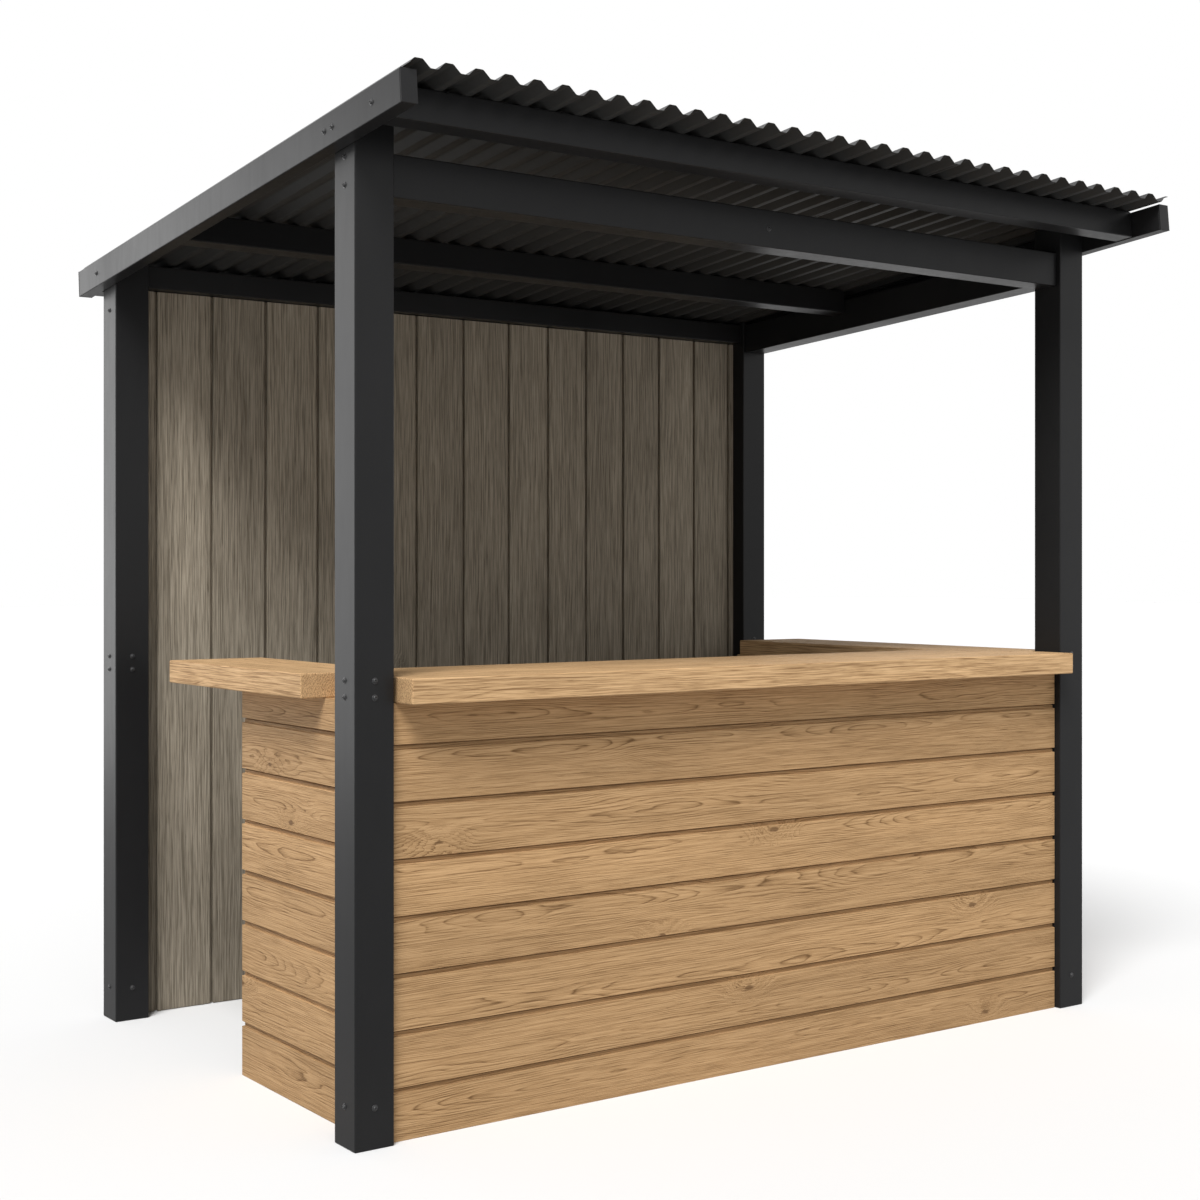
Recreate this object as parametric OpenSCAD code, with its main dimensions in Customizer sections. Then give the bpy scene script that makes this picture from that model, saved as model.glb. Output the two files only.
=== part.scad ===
// Garden bar: four steel posts carry a sheeted mono-pitch roof. A boarded counter with a thick
// worktop runs along the front and both sides, and a boarded wall closes the back.
// The model is in millimetres and stands on Z = 0, centred on X and Y. The front faces -Y.

/* [Frame] */
// Width over the outside of the posts
frame_w = 2450; // [2200:5:2800]
// Depth over the outside of the posts
frame_d = 1565; // [1450:5:1900]
// Side of the square posts
post = 100; // [90:1:110]
// Underside of the front header above the ground
header_z = 2150; // [2100:1:2200]
// Height of the front header
header_h = 99; // [60:1:100]
// Thickness of the front header, the back beam and the side beam
beam_t = 84; // [60:1:84]
// Distance from the posts' front faces back to the header and the back beam
beam_recess = 14; // [2:1:16]
// Height of the back beam, whose underside meets the top of the back wall
back_beam_h = 66; // [40:1:80]
// Underside of the side beam at the right front post, above the ground
side_beam_z = 2166; // [2140:1:2180]
// Height of the side beam under the right rafter
side_beam_h = 100; // [60:1:100]
// Fall of the side beam from the front post to the back post
side_beam_fall = 73; // [60:1:120]

/* [Roof] */
// Height of the rafters' underside at the posts' front faces
rafter_z = 2259; // [2255:1:2400]
// Fall of the roof towards the back, in degrees
fall = 5.1; // [4:0.1:5.4]
// Height of the rafters
rafter_h = 75; // [60:1:90]
// Thickness of the rafters
rafter_t = 40; // [30:1:50]
// Overhang of the roof sheets in front of the posts
roof_front = 290; // [260:5:350]
// Overhang of the roof sheets behind the posts
roof_back = 113; // [110:1:200]
// Distance of the rafter ends inside the edges of the sheets
rafter_inset = 16; // [5:1:30]
// Height of the purlins
purlin_h = 75; // [50:1:80]
// Thickness of the purlins
purlin_t = 60; // [40:1:60]
// Distance of the front purlin's face in front of the posts
purlin_front_y = 185; // [120:5:200]
// Distance of the middle purlin's face behind the posts' front faces
purlin_middle_y = 940; // [600:10:1000]
// Distance by which the purlins hold the sheets above the rafters
sheet_gap = 2; // [1:1:12]

/* [Roof sheets] */
// Distance from one rib to the next
rib_pitch = 75; // [70:0.5:80]
// Height of a rib
rib_h = 18; // [12:1:25]
// Width of a rib's flat top
rib_top = 20; // [14:1:24]
// Width of a rib's sloping side
rib_flank = 18; // [12:1:20]
// Thickness of the sheets
sheet_t = 2; // [1:0.5:3]
// Distance of the sheets' side edges inside the outer faces of the rafters
sheet_side = 15; // [5:1:30]
// Distance from the left edge of the sheets to the first rib's centre
first_rib = 23; // [10:1:30]
// Number of ribs on each sheet but the last, which takes the rest
sheet_ribs = 11; // [8:1:12]

/* [Counter] */
// Height of the worktop's top face
worktop_z = 1060; // [950:5:1150]
// Thickness of the worktop
worktop_t = 60; // [40:1:70]
// Depth of the worktop behind the posts' front faces
worktop_back = 360; // [300:5:450]
// Overhang of the worktop in front of the posts
worktop_front = 60; // [20:5:80]
// Gap between the front worktop and the posts
worktop_gap = 13; // [3:1:20]
// Width of the side worktops
wing_w = 272; // [220:1:320]
// Distance from the posts' front faces to the near end of the left worktop
left_wing_y = 272; // [150:1:290]
// Distance from the posts' front faces to the near end of the right worktop
right_wing_y = 113; // [105:1:290]
// Distance from the posts' front faces to the far end of the left worktop
left_wing_end = 1068; // [900:1:1200]
// Distance from the posts' front faces to the far end of the right worktop
right_wing_end = 1280; // [1000:5:1440]

/* [Cladding] */
// Thickness of the cladding
board_t = 20; // [15:1:25]
// Distance from the posts' front faces back to the front cladding
front_recess = 20; // [5:1:30]
// Distance from the posts' outer faces in to the side cladding
side_recess = 65; // [40:1:70]
// Distance from the posts' front faces to the end of the left cladding, where the way in starts
left_end = 745; // [500:5:900]
// Distance from the back posts' front faces back to the wall's face
wall_recess = 58; // [20:1:60]

/* [Timber framing] */
// Width of the framing timber across the counter
timber_w = 45; // [38:1:50]
// Height of the horizontal framing timber
timber_h = 60; // [40:1:70]
// Number of studs behind the front cladding
front_studs = 5; // [3:1:7]
// Number of studs behind the left cladding
left_studs = 2; // [2:1:3]
// Number of studs behind the right cladding
right_studs = 4; // [3:1:6]

/* [Brackets] */
// Reach of a bracket under the worktop
bracket_w = 190; // [120:5:210]
// Drop of a bracket below the worktop
bracket_h = 150; // [100:5:180]
// Thickness of a bracket
bracket_t = 6; // [4:1:10]
// Number of brackets under the front worktop
front_brackets = 4; // [2:1:5]
// Number of brackets under the left worktop
left_brackets = 2; // [1:1:3]
// Number of brackets under the right worktop
right_brackets = 3; // [2:1:4]

/* [Bolts] */
// Diameter of the bolt heads on the rafters
bolt_d = 15; // [8:1:18]
// Height of the bolt heads
bolt_h = 4.5; // [2:0.5:6]
// Distance of the two bolts in a front post from the middle of the post
bolt_spread = 19; // [12:1:30]

/* [Hidden] */
steel = "#2b2c2e";
oak = "#b08c62";
weathered = "#6f675c";
pine = "#b59a72";
cap_t = 3;
seam = 0.5;
beam_clear = 3;
post_inner = frame_w - 2 * post;
post_back_y = frame_d - post;
y_front = -(frame_d + roof_back - roof_front) / 2;
sheet_n = rafter_h + sheet_gap;
sheet_start = (-roof_front - sheet_n * sin(fall)) / cos(fall);
sheet_end = (frame_d + roof_back - (sheet_n + rib_h) * sin(fall)) / cos(fall);
rafter_start = sheet_start + rafter_inset;
rafter_end = sheet_end - rafter_inset;
sheet_left = sheet_side - rafter_t;
sheet_right = frame_w + rafter_t - sheet_side;
rib_count = ceil((sheet_right - sheet_left) / rib_pitch) + 1;
under_z = worktop_z - worktop_t;
beam_back_y = post_back_y + beam_recess + beam_t;
beam_top = rafter_z + sheet_n / cos(fall) - beam_back_y * tan(fall) - beam_clear;
wall_top = beam_top - back_beam_h;
wall_y = post_back_y + wall_recess;
counter_rail_y = front_recess + board_t;
side_rail_x = side_recess + board_t;
side_beam_x = frame_w - (post + beam_t) / 2;
bearing_z = under_z - timber_h;

// A block whose corner is given from the outer front corner of the left front post
module block(x, y, z, size) {
    translate([x - frame_w / 2, y_front + y, z]) cube(size);
}

// The plane of the roof: X across, Y down the slope, Z square to it from the rafters' underside
module on_slope() {
    translate([-frame_w / 2, y_front, rafter_z]) rotate([-fall, 0, 0]) children();
}

// The right side repeats the left one as its mirror image
module on_right() {
    mirror([1, 0, 0]) children();
}

// A post stands on the ground and is cut at its top to the slope of the rafters
module post_at(x, y) {
    top_front = rafter_z + rafter_h / cos(fall) - y * tan(fall);
    top_back = top_front - post * tan(fall);
    color(steel)
        translate([x - frame_w / 2, y_front + y, 0])
            rotate([90, 0, 90])
                linear_extrude(post)
                    polygon([[0, 0], [post, 0], [post, top_back], [0, top_front]]);
}

module header() {
    color(steel) block(post, beam_recess, header_z, [post_inner, beam_t, header_h]);
}

module back_beam() {
    color(steel)
        block(post, post_back_y + beam_recess, wall_top, [post_inner, beam_t, back_beam_h]);
}

// The side beam ties the right posts together and falls from the header's height towards the back
module side_beam() {
    run = post_back_y - post;
    color(steel)
        translate([side_beam_x - frame_w / 2, y_front + post, side_beam_z])
            rotate([90, 0, 90])
                linear_extrude(beam_t)
                    polygon([[0, 0], [run, -side_beam_fall],
                             [run, side_beam_h - side_beam_fall], [0, side_beam_h]]);
}

// A rafter is bolted to the outer faces of a front and a back post
module rafter() {
    color(steel)
        on_slope()
            translate([-rafter_t, rafter_start, 0])
                cube([rafter_t, rafter_end - rafter_start, rafter_h]);
}

// Both open ends of a rafter are closed by plates
module rafter_caps() {
    color(steel)
        on_slope()
            for (y = [rafter_start - cap_t, rafter_end])
                translate([-rafter_t, y, 0]) cube([rafter_t, cap_t, rafter_h]);
}

// Bolts pass through a rafter into the front post, the back post and the front purlin's end
module rafter_bolts() {
    middle = post / 2;
    color(steel)
        on_slope()
            for (y = [purlin_t / 2 - purlin_front_y, middle - bolt_spread, middle + bolt_spread,
                      frame_d - middle])
                translate([-rafter_t, y, rafter_h / 2]) rotate([0, -90, 0]) cylinder(bolt_h, d = bolt_d);
}

// A purlin starts at the left rafter and carries the sheets
module purlin(y, length) {
    color(steel)
        on_slope()
            translate([0, y, sheet_n - purlin_h]) cube([length, purlin_t, purlin_h]);
}

// Corners of one rib: the feet of its sides and the ends of its flat top
function rib(x) = [
    [x - rib_top / 2 - rib_flank, 0],
    [x - rib_top / 2, rib_h],
    [x + rib_top / 2, rib_h],
    [x + rib_top / 2 + rib_flank, 0]
];

// A sheet is the part of the ribbed profile from the valley after rib first - 1 to that after last
module roof_sheet(first, last) {
    start = sheet_left + first_rib;
    x0 = max(sheet_left, start + (first - 0.5) * rib_pitch + seam / 2);
    x1 = min(sheet_right, start + (last + 0.5) * rib_pitch - seam / 2);
    upper = [for (i = [first - 1:last + 1]) each rib(start + i * rib_pitch)];
    lower = [for (i = [len(upper) - 1:-1:0]) upper[i] - [0, sheet_t]];
    color(steel)
        on_slope()
            translate([0, sheet_end, sheet_n])
                rotate([90, 0, 0])
                    linear_extrude(sheet_end - sheet_start)
                        intersection() {
                            translate([0, sheet_t]) polygon(concat(upper, lower));
                            translate([x0, 0]) square([x1 - x0, rib_h + sheet_t]);
                        }
}

module back_wall() {
    color(weathered) block(post, wall_y, 0, [post_inner, board_t, wall_top]);
}

// A rail ties the wall boards together behind them
module wall_rail(z) {
    rail_t = frame_d - wall_y - board_t;
    color(pine) block(post, wall_y + board_t, z, [post_inner, rail_t, timber_h]);
}

module cladding_front() {
    color(oak) block(post, front_recess, 0, [post_inner, board_t, under_z]);
}

module cladding_side(end) {
    color(oak) block(side_recess, post, 0, [board_t, end - post, under_z]);
}

module rail_front(z) {
    color(pine) block(post, counter_rail_y, z, [post_inner, timber_w, timber_h]);
}

module rail_side(end, z) {
    color(pine) block(side_rail_x, post, z, [timber_w, end - post, timber_h]);
}

// Studs stand between the bottom and the top rail, evenly spread from end to end
module studs_front() {
    pitch = (post_inner - timber_w) / (front_studs - 1);
    color(pine)
        for (i = [0:front_studs - 1])
            block(post + i * pitch, counter_rail_y, timber_h, [timber_w, timber_w, bearing_z - timber_h]);
}

module studs_side(end, count) {
    pitch = (end - post - timber_w) / (count - 1);
    color(pine)
        for (i = [0:count - 1])
            block(side_rail_x, post + i * pitch, timber_h, [timber_w, timber_w, bearing_z - timber_h]);
}

// The front worktop fits between the posts and is notched at its back corners for the side worktops
module worktop_front() {
    left = post + worktop_gap;
    right = frame_w - left;
    color(oak)
        translate([-frame_w / 2, y_front, under_z])
            linear_extrude(worktop_t)
                polygon([[left, -worktop_front], [right, -worktop_front],
                         [right, right_wing_y - seam], [frame_w - wing_w - seam, right_wing_y - seam],
                         [frame_w - wing_w - seam, worktop_back], [wing_w + seam, worktop_back],
                         [wing_w + seam, left_wing_y - seam], [left, left_wing_y - seam]]);
}

module worktop_side(start, end) {
    color(oak) block(0, start, under_z, [wing_w, end - start, worktop_t]);
}

// Outline of a bracket: a right-angled triangle under the worktop with its long edge cut away
module bracket_outline() {
    polygon([[0, 0], [bracket_w, 0], [bracket_w, -bracket_t], [bracket_t, -bracket_h], [0, -bracket_h]]);
}

// Brackets reach back from the front framing under the worktop
module brackets_front() {
    pitch = post_inner / front_brackets;
    back_y = y_front + counter_rail_y + timber_w;
    color(steel)
        for (i = [0:front_brackets - 1])
            translate([post + (i + 0.5) * pitch - frame_w / 2, back_y, under_z])
                rotate([90, 0, 90]) linear_extrude(bracket_t) bracket_outline();
}

// Brackets reach inwards from the side framing, evenly spread from start to end
module brackets_side(start, end, count) {
    reach = min(bracket_w, wing_w - side_rail_x - timber_w - bracket_t);
    pitch = (end - start) / count;
    color(steel)
        for (i = [0:count - 1])
            translate([side_rail_x + timber_w - frame_w / 2, y_front + start + (i + 0.5) * pitch, under_z])
                rotate([90, 0, 0]) linear_extrude(bracket_t)
                    intersection() {
                        bracket_outline();
                        translate([0, -bracket_h]) square([reach, bracket_h]);
                    }
}

post_at(0, 0);  // post_front_left
post_at(frame_w - post, 0);  // post_front_right
post_at(0, post_back_y);  // post_back_left
post_at(frame_w - post, post_back_y);  // post_back_right
header();
back_beam();
side_beam();
rafter();  // rafter_left
on_right() rafter();  // rafter_right
rafter_caps();  // rafter_caps_left
on_right() rafter_caps();  // rafter_caps_right
rafter_bolts();  // rafter_bolts_left
on_right() rafter_bolts();  // rafter_bolts_right
purlin(-purlin_front_y, frame_w);  // purlin_front
purlin(purlin_middle_y, side_beam_x);  // purlin_middle
purlin(rafter_end - purlin_t - rafter_inset, frame_w);  // purlin_back
roof_sheet(0, sheet_ribs - 1);  // roof_sheet_left
roof_sheet(sheet_ribs, 2 * sheet_ribs - 1);  // roof_sheet_middle
roof_sheet(2 * sheet_ribs, rib_count);  // roof_sheet_right
back_wall();
wall_rail(wall_top - timber_h);  // wall_rail_top
wall_rail((wall_top - timber_h) / 2);  // wall_rail_middle
wall_rail(timber_h);  // wall_rail_bottom
cladding_front();
cladding_side(left_end);  // cladding_left
on_right() cladding_side(post_back_y);  // cladding_right
rail_front(bearing_z);  // rail_top_front
rail_side(left_end, bearing_z);  // rail_top_left
on_right() rail_side(post_back_y, bearing_z);  // rail_top_right
rail_front(0);  // rail_bottom_front
rail_side(left_end, 0);  // rail_bottom_left
on_right() rail_side(post_back_y, 0);  // rail_bottom_right
studs_front();
studs_side(left_end, left_studs);  // studs_left
on_right() studs_side(post_back_y, right_studs);  // studs_right
worktop_front();
worktop_side(left_wing_y, left_wing_end);  // worktop_left
on_right() worktop_side(right_wing_y, right_wing_end);  // worktop_right
brackets_front();
brackets_side(worktop_back, left_end, left_brackets);  // brackets_left
on_right() brackets_side(worktop_back, right_wing_end, right_brackets);  // brackets_right
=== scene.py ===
import math
import random

import bmesh
import bpy
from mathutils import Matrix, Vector


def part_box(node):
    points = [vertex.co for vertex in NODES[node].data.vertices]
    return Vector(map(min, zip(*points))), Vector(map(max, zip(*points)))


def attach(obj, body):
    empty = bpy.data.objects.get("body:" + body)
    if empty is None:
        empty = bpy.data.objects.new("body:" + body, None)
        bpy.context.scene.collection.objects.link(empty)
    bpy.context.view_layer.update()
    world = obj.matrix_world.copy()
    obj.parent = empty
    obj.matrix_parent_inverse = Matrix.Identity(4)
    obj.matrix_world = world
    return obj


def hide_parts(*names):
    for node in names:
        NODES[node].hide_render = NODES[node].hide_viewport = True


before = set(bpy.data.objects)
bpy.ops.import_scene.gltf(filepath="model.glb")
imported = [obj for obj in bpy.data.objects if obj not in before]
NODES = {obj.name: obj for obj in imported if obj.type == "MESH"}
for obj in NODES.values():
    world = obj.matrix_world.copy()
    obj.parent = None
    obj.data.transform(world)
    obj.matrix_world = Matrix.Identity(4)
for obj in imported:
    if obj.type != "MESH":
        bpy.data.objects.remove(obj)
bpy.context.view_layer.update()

X, Y, Z = 0, 1, 2
WELD = 1e-5                      # points nearer than this are one point
FLAT_ANGLE = math.radians(1)     # faces that meet at less are one face
EDGE_ANGLE = math.radians(25)    # faces that meet at more have an edge to round
rng = random.Random(7)


# ---------------------------------------------------------------- node helpers

def new_material(name):
    """A material with nothing but its output and one Principled shader."""
    material = bpy.data.materials.new(name)
    material.use_nodes = True
    tree = material.node_tree
    return material, tree, tree.nodes["Principled BSDF"]


def add(tree, kind, inputs=(), **settings):
    """Adds a node. An input is a socket to link from or a plain value, by place or by name."""
    made = tree.nodes.new(kind)
    for key, value in settings.items():
        setattr(made, key, value)
    pairs = inputs.items() if isinstance(inputs, dict) else enumerate(inputs)
    for key, value in pairs:
        if isinstance(value, bpy.types.NodeSocket):
            tree.links.new(value, made.inputs[key])
        else:
            made.inputs[key].default_value = value
    return made


def calc(tree, operation, *values):
    """One Math node: its result."""
    return add(tree, "ShaderNodeMath", values, operation=operation).outputs[0]


def vector_calc(tree, operation, *values):
    """One Vector Math node with a vector for its result."""
    return add(tree, "ShaderNodeVectorMath", values, operation=operation).outputs[0]


def total(tree, *values):
    """The sum of several values."""
    result = values[0]
    for value in values[1:]:
        result = calc(tree, "ADD", result, value)
    return result


def weighted(tree, *pairs):
    """The sum of (value, weight) pairs."""
    return total(tree, *[calc(tree, "MULTIPLY", value, weight) for value, weight in pairs])


def stretched_noise(tree, place, scale, detail=2.0, roughness=0.5):
    """Noise from 0 to 1 at a place that is first scaled along each axis, in features a metre."""
    values = {"Vector": vector_calc(tree, "MULTIPLY", place, scale),
              "Scale": 1.0, "Detail": detail, "Roughness": roughness}
    return add(tree, "ShaderNodeTexNoise", values).outputs[0]


def ramp(tree, value, stops):
    """A colour ramp through (position, colour) stops."""
    made = add(tree, "ShaderNodeValToRGB", [value])
    elements = made.color_ramp.elements
    while len(elements) < len(stops):
        elements.new(0.5)
    for element, (position, colour) in zip(elements, stops):
        element.position = position
        element.color = (*colour, 1)
    return made.outputs[0]


def grey(value):
    return (value, value, value)


def smooth_step(tree, value, low, high, start=0.0, end=1.0):
    """Runs smoothly from start to end as the value goes from low to high."""
    values = {"Value": value, "From Min": low, "From Max": high, "To Min": start, "To Max": end}
    return add(tree, "ShaderNodeMapRange", values, interpolation_type="SMOOTHSTEP").outputs[0]


def centred(tree, value, amount):
    """A 0 to 1 value turned into one that swings by half the amount about zero."""
    return calc(tree, "MULTIPLY", calc(tree, "SUBTRACT", value, 0.5), amount)


def multiply_colour(tree, colour, factor):
    """A colour made lighter or darker by a factor."""
    values = {0: colour, "Scale": factor}
    return add(tree, "ShaderNodeVectorMath", values, operation="SCALE").outputs[0]


# ---------------------------------------------------------------- materials

KNOT_CELL = Vector((0.62, 0.15))   # along and across: each cell of this size may hold one knot
KNOT_STRETCH = 0.42                # a knot's width along the board against its width across
KNOT_CORE = 0.0095                 # radius of the largest knot's dark core
KNOT_SMALLEST = 0.35               # size of the smallest knot against the largest
KNOT_REACH = 0.05                  # how far off a knot bends the rings
KNOT_PULL = 0.022                  # by how much it bends them at its middle
KNOT_DARKNESS = 0.75
QUICK_WARP = 0.007                 # small waves of the rings
FIBRE_WARP = 0.03                  # slow waves of the fibres
BUMP_DEPTH = 0.0015
PAINTED_SHADE_LOW, PAINTED_SHADE_HIGH = 0.1, 1.1     # heights between which the painted shade near the ground fades out
MIX_FACTOR, MIX_A, MIX_B, MIX_RESULT = 0, 6, 7, 2    # colour sockets of the Mix node


def knot_field(tree, place, knots):
    """Knots scattered over the log: how far each point's rings are pulled, and the dark core."""
    per_cell = (1 / KNOT_CELL.x, 1 / KNOT_CELL.y, 0)
    cells = vector_calc(tree, "MULTIPLY", place, per_cell)
    spots = add(tree, "ShaderNodeTexVoronoi", {"Vector": cells, "Scale": 1.0},
                voronoi_dimensions="2D")
    away = vector_calc(tree, "SUBTRACT", cells, spots.outputs["Position"])
    away = vector_calc(tree, "MULTIPLY", away, (KNOT_CELL.x * KNOT_STRETCH, KNOT_CELL.y, 0))
    distance = add(tree, "ShaderNodeVectorMath", [away], operation="LENGTH").outputs["Value"]
    ragged = centred(tree, stretched_noise(tree, place, (90, 160, 160), 3.0), 0.012)
    distance = calc(tree, "MAXIMUM", calc(tree, "ADD", distance, ragged), 0.0)

    chance = add(tree, "ShaderNodeSeparateColor", [spots.outputs["Color"]]).outputs[0]
    present = smooth_step(tree, chance, 1 - knots, 1 - knots + 0.02)
    size = smooth_step(tree, chance, 1 - knots, 1.0, KNOT_SMALLEST, 1.0)
    pull = smooth_step(tree, distance, 0.0, KNOT_REACH, KNOT_PULL, 0.0)
    pull = calc(tree, "MULTIPLY", calc(tree, "MULTIPLY", pull, present), size)
    core_edge = calc(tree, "MULTIPLY", size, KNOT_CORE)
    core = smooth_step(tree, calc(tree, "DIVIDE", distance, core_edge), 0.4, 1.0, 1.0, 0.0)
    return pull, calc(tree, "MULTIPLY", core, present)


def ring_field(tree, place, across, deep, pull, slow, warp, ring_gap):
    """The dark late wood of each ring round a pith that wanders along the board."""
    squares = calc(tree, "POWER", across, 2.0), calc(tree, "POWER", deep, 2.0)
    quick = stretched_noise(tree, place, (5, 30, 30), 2.5)
    radius = total(tree, calc(tree, "SQRT", calc(tree, "ADD", *squares)),
                   centred(tree, slow, warp), centred(tree, quick, QUICK_WARP), pull)
    ring = calc(tree, "FRACT", calc(tree, "DIVIDE", radius, ring_gap))
    late = ramp(tree, ring, [(0, grey(0.4)), (0.07, grey(0)), (0.5, grey(0.06)),
                             (0.8, grey(0.35)), (0.95, grey(1)), (1, grey(0.4))])
    clouds = stretched_noise(tree, place, (2.5, 20, 20), 2.0)
    return calc(tree, "MULTIPLY", late, smooth_step(tree, clouds, 0.35, 0.65, 0.55, 1.0))


def wood(name, light, middle, dark, knot_colour, ring_gap=0.0031, ring_share=0.62,
         fibre_share=0.58, pore_share=0.2, warp=0.045, knots=0.2, tone_swing=0.14, roughness=0.6,
         bump=0.4, specular=0.08, painted_shade_at_ground=1.0):
    """Sawn timber. The grain attribute holds each point's place in the log: along, across and in
    depth from the pith, so the rings show as arches on the faces and as arcs on the ends. The
    last argument is the lightness near the ground: painted shade, darker towards the bottom."""
    material, tree, shader = new_material(name)
    place = add(tree, "ShaderNodeAttribute", attribute_name="grain").outputs["Vector"]
    tone = add(tree, "ShaderNodeAttribute", attribute_name="tone").outputs["Fac"]
    along, across, deep = add(tree, "ShaderNodeSeparateXYZ", [place]).outputs
    pull, core = knot_field(tree, place, knots)
    slow = stretched_noise(tree, place, (1.5, 9, 9), 1.5)
    late = ring_field(tree, place, across, deep, pull, slow, warp, ring_gap)

    # fibres at two scales, of which the coarse ones bend round the knots
    bend = calc(tree, "MULTIPLY", pull, 2.0)
    bent = total(tree, across, bend, centred(tree, slow, FIBRE_WARP))
    bent_place = add(tree, "ShaderNodeCombineXYZ", [along, bent, deep]).outputs[0]
    coarse = stretched_noise(tree, bent_place, (5, 270, 270), 3.0, 0.6)
    fine = stretched_noise(tree, place, (9, 460, 460), 3.0, 0.65)
    fibre = smooth_step(tree, weighted(tree, (coarse, 0.5), (fine, 0.5)), 0.36, 0.64)
    # pores as short dark dashes
    pores = smooth_step(tree, stretched_noise(tree, place, (16, 330, 330), 2.0), 0.6, 0.7)

    # shade runs from light wood at 0 to dark wood at 1
    shade = weighted(tree, (late, ring_share), (fibre, fibre_share), (pores, pore_share))
    colour = ramp(tree, shade, [(0.0, light), (0.42, middle), (1.0, dark)])
    clouds = stretched_noise(tree, place, (1.6, 10, 10), 2.0)
    patches = smooth_step(tree, clouds, 0.25, 0.75, 0.93, 1.07)
    board_tone = smooth_step(tree, tone, 0, 1, 1 - tone_swing / 2, 1 + tone_swing / 2)
    lightness = calc(tree, "MULTIPLY", patches, board_tone)
    # painted shade: the wood is made darker towards the ground
    world_place = add(tree, "ShaderNodeTexCoord").outputs["Object"]
    ground_height = add(tree, "ShaderNodeSeparateXYZ", [world_place]).outputs[Z]
    painted_ground_shade = smooth_step(tree, ground_height, PAINTED_SHADE_LOW, PAINTED_SHADE_HIGH, painted_shade_at_ground, 1.0)
    colour = multiply_colour(tree, colour, calc(tree, "MULTIPLY", lightness, painted_ground_shade))
    core_share = calc(tree, "MULTIPLY", core, KNOT_DARKNESS)
    values = {MIX_FACTOR: core_share, MIX_A: colour, MIX_B: (*knot_colour, 1)}
    mix = add(tree, "ShaderNodeMix", values, data_type="RGBA")
    tree.links.new(mix.outputs[MIX_RESULT], shader.inputs["Base Color"])

    # the dark wood is a little rougher and lies a little deeper
    gloss = calc(tree, "ADD", calc(tree, "MULTIPLY", shade, 0.12), roughness - 0.06)
    tree.links.new(gloss, shader.inputs["Roughness"])
    shader.inputs["Specular IOR Level"].default_value = specular
    depth = calc(tree, "ADD", shade, calc(tree, "MULTIPLY", pores, 0.5))
    height = calc(tree, "MULTIPLY", depth, -1)
    bumped = add(tree, "ShaderNodeBump",
                 {"Strength": bump, "Distance": BUMP_DEPTH, "Height": height})
    tree.links.new(bumped.outputs[0], shader.inputs["Normal"])
    return material


def coated_steel(name, colour, roughness, peel=0.12, specular=0.25, streaks=0.0):
    """Powder-coated steel: a fine orange peel, faint clouds of wear in the gloss and dust in the
    colour. streaks is the share of long rolling marks in the relief."""
    material, tree, shader = new_material(name)
    place = add(tree, "ShaderNodeTexCoord").outputs["Object"]
    clouds = stretched_noise(tree, place, (2.2, 2.2, 1.3), 4.0, 0.55)
    grains = stretched_noise(tree, place, (420, 420, 420), 2.0)
    scuffs = stretched_noise(tree, place, (60, 60, 9), 3.0, 0.6)
    dust = weighted(tree, (clouds, 0.7), (grains, 0.3))
    lightness = smooth_step(tree, dust, 0.2, 0.8, 0.8, 1.25)
    paint = add(tree, "ShaderNodeCombineColor", colour).outputs[0]
    tree.links.new(multiply_colour(tree, paint, lightness), shader.inputs["Base Color"])
    wear = calc(tree, "ADD", clouds, centred(tree, scuffs, 0.5))
    rough = smooth_step(tree, wear, 0.2, 0.8, roughness - 0.05, roughness + 0.07)
    tree.links.new(rough, shader.inputs["Roughness"])
    shader.inputs["Specular IOR Level"].default_value = specular
    height = grains
    if streaks:
        rolled = stretched_noise(tree, place, (90, 1.2, 90), 2.0)
        height = calc(tree, "ADD", grains, calc(tree, "MULTIPLY", rolled, streaks))
    bumped = add(tree, "ShaderNodeBump", {"Strength": peel, "Distance": 0.0004, "Height": height})
    tree.links.new(bumped.outputs[0], shader.inputs["Normal"])
    return material


STEEL = coated_steel("steel_black_coat", (0.0135, 0.0135, 0.014), 0.33, specular=0.19)
SHEET = coated_steel("sheet_black_coat", (0.022, 0.022, 0.0223), 0.36, peel=0.08, specular=0.25,
                     streaks=2.0)
SHEET_BACK = coated_steel("sheet_back_coat", (0.036, 0.0355, 0.034), 0.5, peel=0.08, specular=0.2,
                          streaks=2.0)
BOLT = coated_steel("bolt_black_zinc", (0.035, 0.035, 0.036), 0.32, peel=0.2, specular=0.4)
CLADDING = wood("oak_cladding", light=(0.575, 0.366, 0.189), middle=(0.45, 0.276, 0.134),
                dark=(0.175, 0.094, 0.04), knot_colour=(0.12, 0.062, 0.028))
WORKTOP = wood("oak_worktop", light=(0.69, 0.457, 0.246), middle=(0.535, 0.338, 0.171),
               dark=(0.21, 0.115, 0.05), knot_colour=(0.15, 0.08, 0.038), ring_gap=0.006,
               ring_share=0.35, fibre_share=0.75, knots=0.04, tone_swing=0.06, roughness=0.62,
               bump=0.3, specular=0.1)
# the wall's boards get painted shade, darker towards the ground
WALL = wood("weathered_boards", light=(0.44, 0.383, 0.302), middle=(0.325, 0.281, 0.217),
            dark=(0.145, 0.121, 0.089), knot_colour=(0.1, 0.08, 0.057), ring_gap=0.004,
            ring_share=0.14, fibre_share=0.85, knots=0.03, tone_swing=0.12, roughness=0.8,
            specular=0.0, painted_shade_at_ground=0.75)
PINE = wood("planed_softwood", light=(0.56, 0.42, 0.25), middle=(0.5, 0.36, 0.2),
            dark=(0.36, 0.23, 0.11), knot_colour=(0.16, 0.08, 0.04), ring_gap=0.006,
            ring_share=0.45, knots=0.4, tone_swing=0.1, bump=0.15)


# ---------------------------------------------------------------- mesh helpers

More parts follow.
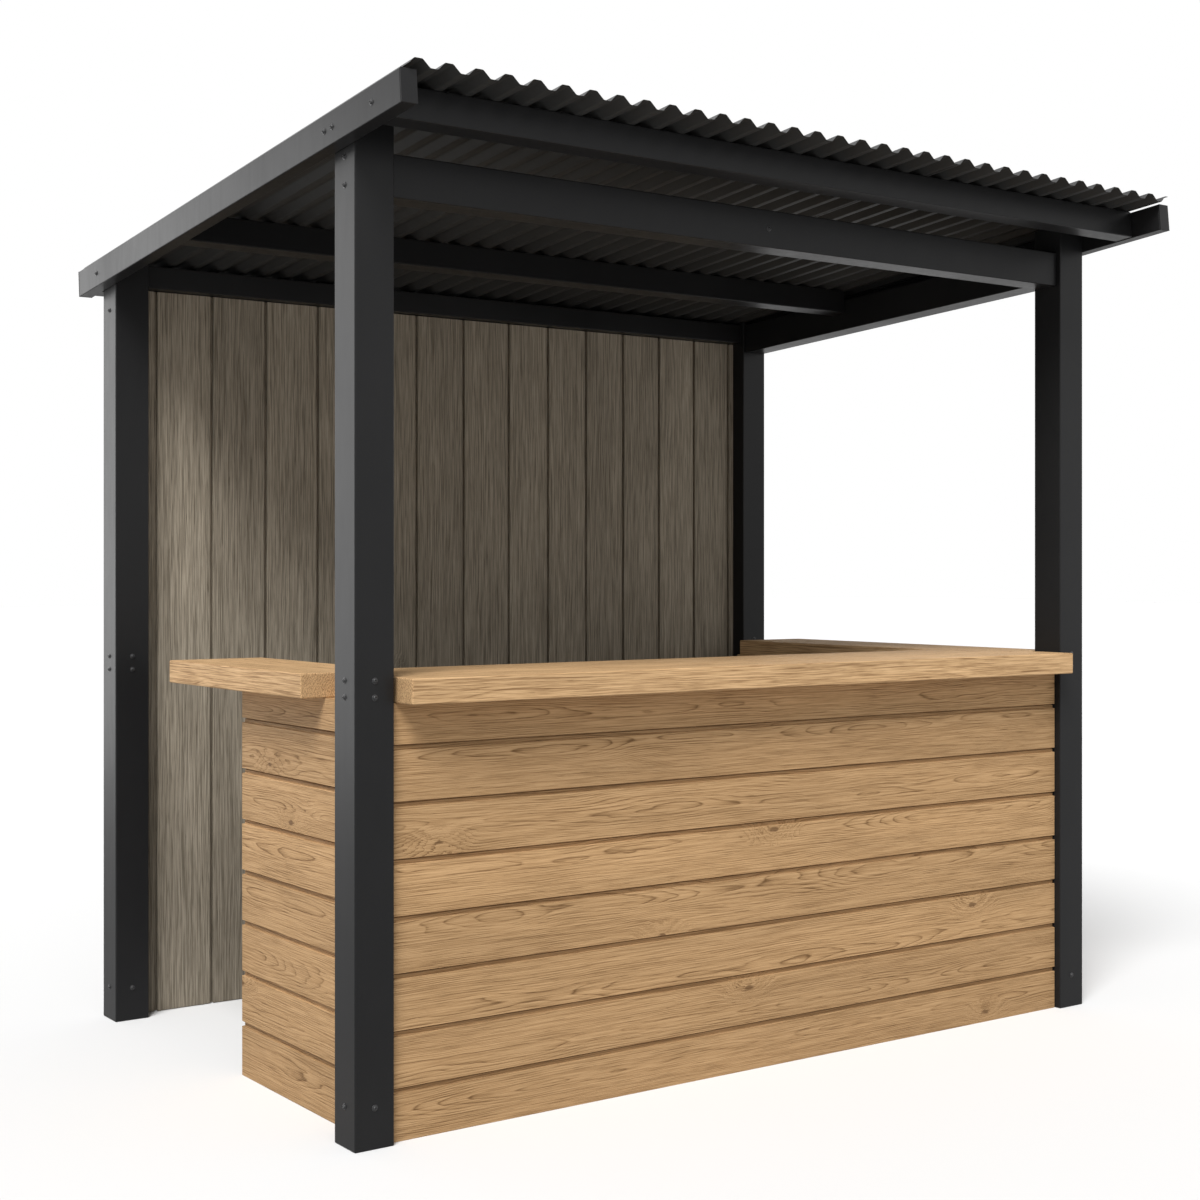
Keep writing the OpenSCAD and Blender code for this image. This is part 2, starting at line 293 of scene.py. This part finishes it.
PITH_DEPTH = (0.035, 0.085)    # how far behind a board's middle the pith lies
LOG_LENGTH = 60                # a board's grain starts anywhere along this length
PITH_SIDE = 0.3                # how far to the side the pith may lie, against the board's width
WEIGHT_BY_FACE = 100           # weighted normals that follow the large faces only


def islands(bm):
    """The separate solids of a mesh, each as a list of its points."""
    left = set(bm.verts)
    found = []
    for start in bm.verts:
        if start not in left:
            continue
        left.discard(start)
        group, queue = [], [start]
        while queue:
            point = queue.pop()
            group.append(point)
            for edge in point.link_edges:
                other = edge.other_vert(point)
                if other in left:
                    left.discard(other)
                    queue.append(other)
        found.append(group)
    return found


def extent(points):
    """The low and the high corner of some points."""
    low = [min(v.co[k] for v in points) for k in (X, Y, Z)]
    high = [max(v.co[k] for v in points) for k in (X, Y, Z)]
    return low, high


def lay_grain(bm):
    """Gives each solid its own place in a log, with its length along the grain."""
    grain = bm.verts.layers.float_vector.new("grain")
    tone = bm.verts.layers.float.new("tone")
    for group in islands(bm):
        low, high = extent(group)
        order = sorted((X, Y, Z), key=lambda k: low[k] - high[k])
        width = high[order[1]] - low[order[1]]
        start = rng.uniform(0, LOG_LENGTH)
        side = rng.uniform(-PITH_SIDE, PITH_SIDE) * width
        depth = rng.uniform(*PITH_DEPTH)
        value = rng.random()
        shift = Vector((start, side, depth))
        for v in group:
            v[grain] = shift + Vector([v.co[k] - (low[k] + high[k]) / 2 for k in order])
            v[tone] = value


def round_edges(bm, radius, segments):
    """Rounds every edge at which two faces meet at a clear angle."""
    sharp = [e for e in bm.edges if len(e.link_faces) == 2 and e.calc_face_angle() > EDGE_ANGLE]
    bmesh.ops.bevel(bm, geom=sharp, offset=radius, segments=segments, profile=0.5,
                    affect="EDGES", clamp_overlap=True)


def finish_piece(bm, name, material, nodes=()):
    """Turns a bmesh into a piece that rides on the frame and stands for the nodes it replaces."""
    mesh = bpy.data.meshes.new(name)
    bm.normal_update()
    bm.to_mesh(mesh)
    bm.free()
    piece = bpy.data.objects.new(name, mesh)
    bpy.context.collection.objects.link(piece)
    mesh.materials.append(material)
    mesh.shade_smooth()
    even = piece.modifiers.new("even_normals", "WEIGHTED_NORMAL")
    even.mode = "FACE_AREA"
    even.weight = WEIGHT_BY_FACE
    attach(piece, "root")
    if nodes:
        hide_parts(*nodes)
    return piece


def refined(node, material, radius, segments=2, grained=False):
    """The CAD solids of a node again, with clean faces, rounded edges and, in timber, a grain."""
    bm = bmesh.new()
    bm.from_mesh(NODES[node].data)
    bmesh.ops.remove_doubles(bm, verts=bm.verts, dist=WELD)
    bmesh.ops.dissolve_limit(bm, angle_limit=FLAT_ANGLE, verts=bm.verts, edges=bm.edges)
    round_edges(bm, radius, segments)
    if grained:
        lay_grain(bm)
    finish_piece(bm, node + "_look", material, [node])


def extrude_outline(bm, outline, start, end, to_world):
    """A prism over an outline of (v, w) points, from start to end along u."""
    rings = [[bm.verts.new(to_world(u, v, w)) for v, w in outline] for u in (start, end)]
    count = len(outline)
    for k in range(count):
        m = (k + 1) % count
        bm.faces.new((rings[0][k], rings[0][m], rings[1][m], rings[1][k]))
    bm.faces.new(list(reversed(rings[0])))
    bm.faces.new(rings[1])


# ---------------------------------------------------------------- boards

JOINT = 0.0036         # open gap between two boards
TONGUE = 0.0066        # the hidden tongue that closes the gap
ROOT_SHARE = 0.6       # depth of the tongue's front face, against the board's thickness
END_GAP = 0.0015       # room at a board's ends
BOARD_SWAY = 0.0006    # how far back a board may lie
BOARD_EDGE = 0.0009    # radius of a board's edges
LIP, WALL_LIP = 0.009, 0.0075    # width of the recessed strip along a board's far edge
LIP_DEPTH = 0.008                # its depth behind the face


def board_outline(v0, v1, thick, lip):
    """A shiplap board across its length: (stack, depth) from its near edge to its far edge."""
    root = thick * ROOT_SHARE
    return [(v0, 0), (v1 - lip, 0), (v1 - lip, LIP_DEPTH), (v1, LIP_DEPTH), (v1, root),
            (v1 + TONGUE, root), (v1 + TONGUE, thick), (v0 + TONGUE, thick), (v0 + TONGUE, root),
            (v0, root)]


def last_board_outline(v0, v1, thick):
    """The board at the end of the row, with a plain far edge."""
    root = thick * ROOT_SHARE
    return [(v0, 0), (v1, 0), (v1, thick), (v0 + TONGUE, thick), (v0 + TONGUE, root), (v0, root)]


def boards(name, node, material, along, stack, side, joints, lip=LIP):
    """Boards that fill a slab's box. side is the axis and sign of the face that looks out."""
    low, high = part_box(node)
    axis, sign = side
    face = high[axis] if sign > 0 else low[axis]
    thick = high[axis] - low[axis]

    def to_world(u, v, w):
        place = [0, 0, 0]
        place[along] = u
        place[stack] = v
        place[axis] = face - sign * w
        return place

    bm = bmesh.new()
    edges = [low[stack]] + [low[stack] + j for j in joints] + [high[stack]]
    start, end = low[along] + END_GAP, high[along] - END_GAP
    for k in range(len(edges) - 1):
        near, far = edges[k] + (JOINT if k else 0), edges[k + 1]
        if k == len(edges) - 2:
            outline = last_board_outline(near, far, thick)
        else:
            outline = board_outline(near, far, thick, lip)
        before = set(bm.verts)
        extrude_outline(bm, outline, start, end, to_world)
        sway = rng.uniform(0, BOARD_SWAY)
        for v in set(bm.verts) - before:
            v.co[axis] -= sign * sway
    bmesh.ops.recalc_face_normals(bm, faces=bm.faces)
    round_edges(bm, BOARD_EDGE, 1)
    lay_grain(bm)
    finish_piece(bm, name, material, [node])


def even_joints(first, pitch, count):
    return [first + pitch * k for k in range(count)]


BOARD_PITCH = 0.1306
JOINT_COUNT = 7
FIRST_JOINT, FIRST_JOINT_LEFT = 0.118, 0.136     # above the cladding's lower edge
WIDE_BOARD, WIDE_COUNT, NARROW_COUNT = 0.1765, 7, 6
EDGE_STRIP = 0.046                               # the wall's first, narrow board
for place, along, side, first in (("front", X, (Y, -1), FIRST_JOINT),
                                  ("left", Y, (X, -1), FIRST_JOINT_LEFT),
                                  ("right", Y, (X, 1), FIRST_JOINT)):
    node = "cladding_" + place
    boards(node + "_boards", node, CLADDING, along, Z, side,
           even_joints(first, BOARD_PITCH, JOINT_COUNT))
wall_low, wall_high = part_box("back_wall")
wide_end = EDGE_STRIP + WIDE_COUNT * WIDE_BOARD
narrow_board = (wall_high[X] - wall_low[X] - EDGE_STRIP / 2 - wide_end) / NARROW_COUNT
wall_joints = (even_joints(EDGE_STRIP, WIDE_BOARD, WIDE_COUNT)
               + even_joints(wide_end, narrow_board, NARROW_COUNT + 1))
boards("back_wall_boards", "back_wall", WALL, Z, X, (Y, -1), wall_joints, WALL_LIP)


# ---------------------------------------------------------------- members

POST_EDGE, BEAM_EDGE, CAP_EDGE, BRACKET_EDGE = 0.0035, 0.003, 0.001, 0.0008
WORKTOP_EDGE, STUD_EDGE = 0.0035, 0.0015
for node in ("post_front_left", "post_front_right", "post_back_left", "post_back_right"):
    refined(node, STEEL, POST_EDGE, 3)
for node in ("header", "back_beam", "side_beam", "rafter_left", "rafter_right",
             "purlin_front", "purlin_middle", "purlin_back"):
    refined(node, STEEL, BEAM_EDGE, 3)
for node in ("rafter_caps_left", "rafter_caps_right"):
    refined(node, STEEL, CAP_EDGE)
for node in ("brackets_front", "brackets_left", "brackets_right"):
    refined(node, STEEL, BRACKET_EDGE)
for node in ("worktop_front", "worktop_left", "worktop_right"):
    refined(node, WORKTOP, WORKTOP_EDGE, 3, grained=True)
for node in NODES:
    if node.startswith(("rail_", "studs_", "wall_rail_")):
        refined(node, PINE, STUD_EDGE, grained=True)


# ---------------------------------------------------------------- roof sheets

front_post, back_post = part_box("post_front_left"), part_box("post_back_left")
FALL = math.atan2(front_post[1][Z] - back_post[1][Z], back_post[0][Y] - front_post[0][Y])
DOWN = Vector((0, math.cos(FALL), -math.sin(FALL)))
OUT = Vector((0, math.sin(FALL), math.cos(FALL)))
RIB_PITCH = 0.075
RIB_HEIGHT = 0.018
RIB_TOP = 0.020
RIB_FLANK = 0.018
FIRST_RIB = 0.023       # from the left edge to the middle of the first rib
SHEET_CAD = 0.020       # height of the CAD sheet with its ribs
SHEET_THICK = 0.0008
SHEET_STEPS = 12        # rows of faces down the slope
LAP = 0.0009            # how much higher the lapping sheet lies
LAP_REACH = RIB_PITCH * 0.87
BEND = 0.0026           # length of the rounding on each side of a fold
PACKER_DROP = 0.0018    # how far the packer reaches below the valleys
roof_low, roof_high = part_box("roof_sheet_left")
roof_length = (roof_high[Y] - roof_low[Y] - SHEET_CAD * math.sin(FALL)) / math.cos(FALL)
roof_corner = Vector((0, roof_low[Y], roof_high[Z] - SHEET_CAD * math.cos(FALL)))
first_rib_x = roof_low[X] + FIRST_RIB


def on_roof(x, down, out):
    """A point of the roof plane: across, down the slope and square to it from the valleys."""
    return Vector((x, 0, 0)) + roof_corner + DOWN * down + OUT * out


def rib_folds(x1):
    """The sharp folds of the ribs from before the roof's left edge to past x1."""
    half, foot = RIB_TOP / 2, RIB_TOP / 2 + RIB_FLANK
    folds = []
    for i in range(-2, int((x1 - first_rib_x) / RIB_PITCH) + 3):
        centre = first_rib_x + i * RIB_PITCH
        folds += [(centre - foot, 0), (centre - half, RIB_HEIGHT),
                  (centre + half, RIB_HEIGHT), (centre + foot, 0)]
    return folds


def rib_line(x0, x1):
    """The ribbed profile from x0 to x1 as (x, height), with each fold rounded."""
    folds = rib_folds(x1)
    line = [folds[0]]
    for before, fold, after in zip(folds, folds[1:], folds[2:]):
        a, b, c = (Vector(p) for p in (before, fold, after))
        near, far = b + (a - b).normalized() * BEND, b + (c - b).normalized() * BEND
        line += [tuple(near), tuple(near * 0.25 + b * 0.5 + far * 0.25), tuple(far)]
    line.append(folds[-1])
    cut = []
    for (xa, ya), (xb, yb) in zip(line, line[1:]):
        if xb <= x0 or xa >= x1:
            continue
        for x in (xa, xb):
            t = min(max(x, x0), x1)
            level = ya + (yb - ya) * (t - xa) / (xb - xa)
            if not cut or t > cut[-1][0] + WELD:
                cut.append((t, level))
    return cut


def roof_sheet(node, lift, reach):
    """One sheet. It runs on past its seam by reach, under the next one, which lies higher by a
    lift. Its underside is duller than its top."""
    low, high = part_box(node)
    line = rib_line(low[X], high[X] + reach)
    bm = bmesh.new()
    layers = []
    for out in (lift, lift + SHEET_THICK):
        layers.append([[bm.verts.new(on_roof(x, roof_length * s / SHEET_STEPS, y + out))
                        for x, y in line] for s in range(SHEET_STEPS + 1)])
    lower, upper = layers
    for layer in layers:
        for s in range(SHEET_STEPS):
            for k in range(len(line) - 1):
                bm.faces.new((layer[s][k], layer[s][k + 1], layer[s + 1][k + 1], layer[s + 1][k]))
    for s in (0, SHEET_STEPS):
        for k in range(len(line) - 1):
            bm.faces.new((lower[s][k], lower[s][k + 1], upper[s][k + 1], upper[s][k]))
    for k in (0, len(line) - 1):
        for s in range(SHEET_STEPS):
            bm.faces.new((lower[s][k], lower[s + 1][k], upper[s + 1][k], upper[s][k]))
    bmesh.ops.recalc_face_normals(bm, faces=bm.faces)
    for face in bm.faces:
        face.material_index = 1 if face.normal.dot(OUT) < 0 else 0
    piece = finish_piece(bm, node + "_look", SHEET, [node])
    piece.data.materials.append(SHEET_BACK)


def side_packer():
    """The strip that closes the last rib over the right rafter, behind the front purlin."""
    bm = bmesh.new()
    start_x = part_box("rafter_right")[0][X]
    end_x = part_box("roof_sheet_right")[1][X] - LAP
    down = (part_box("purlin_front")[1][Y] - roof_low[Y]) / math.cos(FALL)
    crest = RIB_HEIGHT - LAP
    outline = [(start_x, -PACKER_DROP), (end_x, -PACKER_DROP), (end_x, crest),
               (end_x - RIB_TOP / 2, crest), (start_x, crest / 4)]
    extrude_outline(bm, outline, down, roof_length - BEND, lambda u, v, w: on_roof(v, u, w))
    bmesh.ops.recalc_face_normals(bm, faces=bm.faces)
    finish_piece(bm, "side_packer", STEEL)


roof_sheet("roof_sheet_left", 0.0, LAP_REACH)
roof_sheet("roof_sheet_middle", LAP, LAP_REACH)
roof_sheet("roof_sheet_right", 0.0, 0.0)
side_packer()


# ---------------------------------------------------------------- bolts and screws

BOLT_RADIUS = 0.005
BOLT_SIDES, WASHER_SIDES, HEX_SIDES = 20, 16, 6
# profiles as (radius, height) from the bottom edge to the middle of the top
BOLT_WASHER = [(0.0075, 0), (0.0075, 0.0007), (0.007, 0.0011), (0, 0.0011)]
BOLT_HEAD = [(1, 0.0011), (1, 0.0018), (0.93, 0.0029), (0.74, 0.0038), (0.5, 0.0043),
             (0.42, 0.0041), (0.38, 0.0022), (0, 0.0022)]      # radii against the bolt's
SCREW_WASHER = [(0.0095, 0), (0.0095, 0.0012), (0.0085, 0.002), (0, 0.002)]
SCREW_HEAD = [(0.0046, 0.002), (0.0046, 0.0062), (0.0038, 0.007), (0, 0.007)]
SCREW_EVERY = 3         # valleys from one roof screw to the next
FOOT_BOLT = 0.094       # height of the bolts near the ground
LEFT, RIGHT = ("left", -1), ("right", 1)


def turned(bm, profile, centre, axis, sides=BOLT_SIDES):
    """A turned solid over a profile, standing on centre along axis."""
    turn = Vector((0, 0, 1)).rotation_difference(Vector(axis)).to_matrix()
    rings = []
    for radius, height in profile:
        if radius < WELD:
            rings.append([bm.verts.new(centre + turn @ Vector((0, 0, height)))])
            continue
        angles = [math.tau * k / sides for k in range(sides)]
        points = [Vector((radius * math.cos(a), radius * math.sin(a), height)) for a in angles]
        rings.append([bm.verts.new(centre + turn @ point) for point in points])
    for lower, upper in zip(rings, rings[1:]):
        for k in range(sides):
            m = (k + 1) % sides
            if len(upper) == 1:
                bm.faces.new((lower[k], lower[m], upper[0]))
            else:
                bm.faces.new((lower[k], lower[m], upper[m], upper[k]))
    bm.faces.new(list(reversed(rings[0])))


def bolt(bm, centre, axis):
    """A button head with a socket, on a washer."""
    centre = Vector(centre)
    turned(bm, BOLT_WASHER, centre, axis)
    turned(bm, [(BOLT_RADIUS * share, height) for share, height in BOLT_HEAD], centre, axis)


def hex_screw(bm, centre, axis):
    """A roofing screw: a six-sided head with a flange on a rubber-backed washer."""
    turned(bm, SCREW_WASHER, centre, axis, WASHER_SIDES)
    turned(bm, SCREW_HEAD, centre, axis, HEX_SIDES)


def finish_fixings(bm, name, nodes=()):
    bmesh.ops.recalc_face_normals(bm, faces=bm.faces)
    finish_piece(bm, name, BOLT, nodes)


def roof_screws():
    """Rows of screws in the valleys over the three purlins."""
    bm = bmesh.new()
    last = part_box("roof_sheet_right")[1][X]
    for purlin in ("purlin_front", "purlin_middle", "purlin_back"):
        low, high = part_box(purlin)
        down = ((low[Y] + high[Y]) / 2 - roof_low[Y]) / math.cos(FALL)
        x = first_rib_x + RIB_PITCH * 0.5
        valley = 0
        while x < last - RIB_PITCH * 0.5:
            if valley % SCREW_EVERY == 1:
                hex_screw(bm, on_roof(x, down, SHEET_THICK + LAP), OUT)
            x += RIB_PITCH
            valley += 1
    finish_fixings(bm, "roof_screws")


def rafter_bolts(side, sign):
    """A bolt in the place of each disc on a rafter's outer face."""
    bm = bmesh.new()
    node = "rafter_bolts_" + side
    discs = bmesh.new()
    discs.from_mesh(NODES[node].data)
    bmesh.ops.remove_doubles(discs, verts=discs.verts, dist=WELD)
    low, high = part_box(node)
    face = high[X] if sign < 0 else low[X]
    for group in islands(discs):
        corner_low, corner_high = extent(group)
        middle_y = (corner_low[Y] + corner_high[Y]) / 2
        middle_z = (corner_low[Z] + corner_high[Z]) / 2
        bolt(bm, (face, middle_y, middle_z), (sign, 0, 0))
    discs.free()
    finish_fixings(bm, node + "_look", [node])


def frame_bolts():
    """Bolts through the posts at the worktop, the foot and the beams, and one in the header."""
    bm = bmesh.new()
    counter_low, counter_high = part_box("worktop_front")
    header_low, header_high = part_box("header")
    both_ways = (counter_high[Z] - 0.006, counter_low[Z] + 0.016, FOOT_BOLT)
    at_header = (header_low[Z] + 0.021, header_high[Z] - 0.014)
    at_wall = (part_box("wall_rail_top")[0][Z] - 0.01,)
    for side, sign in (LEFT, RIGHT):
        for row in ("front", "back"):
            low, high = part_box("post_%s_%s" % (row, side))
            centre_x, centre_y = (low[X] + high[X]) / 2, (low[Y] + high[Y]) / 2
            outer = low[X] if sign < 0 else high[X]
            for z in both_ways:
                bolt(bm, (outer, centre_y, z), (sign, 0, 0))
                bolt(bm, (centre_x, low[Y], z), (0, -1, 0))
                if row == "back":
                    bolt(bm, (centre_x, high[Y], z), (0, 1, 0))
            for z in at_header if row == "front" else at_wall:
                bolt(bm, (outer, centre_y, z), (sign, 0, 0))
    centre_x, centre_z = (header_low[X] + header_high[X]) / 2, (header_low[Z] + header_high[Z]) / 2
    bolt(bm, (centre_x, header_low[Y], centre_z), (0, -1, 0))
    finish_fixings(bm, "frame_bolts")


roof_screws()
rafter_bolts(*LEFT)
rafter_bolts(*RIGHT)
frame_bolts()


# ---------------------------------------------------------------- stage, light and camera

FLOOR_REACH = 60
FLOOR_LIT, FLOOR_SEEN = 0.5, 0.79    # the floor's tone for the light and for the camera
SKY_LIT, SKY_SEEN = 0.4, 1.0         # the same for the sky


def stage():
    """A plain pale floor."""
    bm = bmesh.new()
    bmesh.ops.create_grid(bm, x_segments=1, y_segments=1, size=FLOOR_REACH)
    mesh = bpy.data.meshes.new("floor")
    bm.to_mesh(mesh)
    bm.free()
    floor = bpy.data.objects.new("floor", mesh)
    bpy.context.collection.objects.link(floor)
    material, tree, shader = new_material("floor_white")
    seen = add(tree, "ShaderNodeLightPath").outputs["Is Camera Ray"]
    tone = smooth_step(tree, seen, 0, 1, FLOOR_LIT, FLOOR_SEEN)
    colour = add(tree, "ShaderNodeCombineColor", [tone, tone, tone]).outputs[0]
    tree.links.new(colour, shader.inputs["Base Color"])
    shader.inputs["Roughness"].default_value = 1.0
    shader.inputs["Specular IOR Level"].default_value = 0.0
    mesh.materials.append(material)


def aimed(name, light, direction):
    """A lamp turned so that it shines from a direction."""
    lamp = bpy.data.objects.new(name, light)
    lamp.rotation_euler = Vector(direction).to_track_quat("Z", "Y").to_euler()
    bpy.context.collection.objects.link(lamp)
    return lamp


def sun(name, direction, strength, softness):
    """A sun lamp. direction points towards it, and softness is its width in degrees."""
    light = bpy.data.lights.new(name, "SUN")
    light.energy = strength
    light.angle = math.radians(softness)
    aimed(name, light, direction)


def side_panel():
    """A tall soft light behind on the left. Only glossy faces see it, so it draws the steel's
    sides."""
    light = bpy.data.lights.new("side_panel", "AREA")
    light.shape = "RECTANGLE"
    light.size, light.size_y = 6.0, 3.8
    light.energy = 115
    lamp = aimed("side_panel", light, (-0.55, 0.83, 0))
    lamp.location = (-4.4, 4.8, 2.0)
    lamp.visible_diffuse = False
    lamp.visible_camera = False
    lamp.visible_shadow = False


def sky():
    """White behind the object and in its reflections, and a plain pale light from all round."""
    world = bpy.data.worlds.new("studio")
    bpy.context.scene.world = world
    world.use_nodes = True
    tree = world.node_tree
    tree.nodes.clear()
    path = add(tree, "ShaderNodeLightPath").outputs
    seen = calc(tree, "MAXIMUM", path["Is Camera Ray"], path["Is Glossy Ray"])
    seen = calc(tree, "MAXIMUM", seen, path["Is Transmission Ray"])
    soft = add(tree, "ShaderNodeBackground", [(1, 1, 1, 1), SKY_LIT]).outputs[0]
    white = add(tree, "ShaderNodeBackground", [(1, 1, 1, 1), SKY_SEEN]).outputs[0]
    mix = add(tree, "ShaderNodeMixShader", [seen, soft, white]).outputs[0]
    add(tree, "ShaderNodeOutputWorld", [mix])


def camera():
    """The picture's view: level, from the front left at standing height."""
    data = bpy.data.cameras.new("view")
    data.lens = 55.1
    data.sensor_width = 36.0
    data.shift_y = -0.024
    data.clip_end = 200
    view = bpy.data.objects.new("view", data)
    view.location = (-3.1539, -4.3521, 1.3007)
    view.rotation_euler = (math.radians(90), 0, math.radians(-35.402))
    bpy.context.collection.objects.link(view)
    bpy.context.scene.camera = view


stage()
sky()
side_panel()
sun("key", direction=(-0.46, -0.42, 0.79), strength=3.55, softness=26)
sun("fill", direction=(-0.25, -0.9, 0.3), strength=0.22, softness=40)
camera()

bpy.context.scene.view_settings.view_transform = "Standard"

bpy.context.view_layer.update()
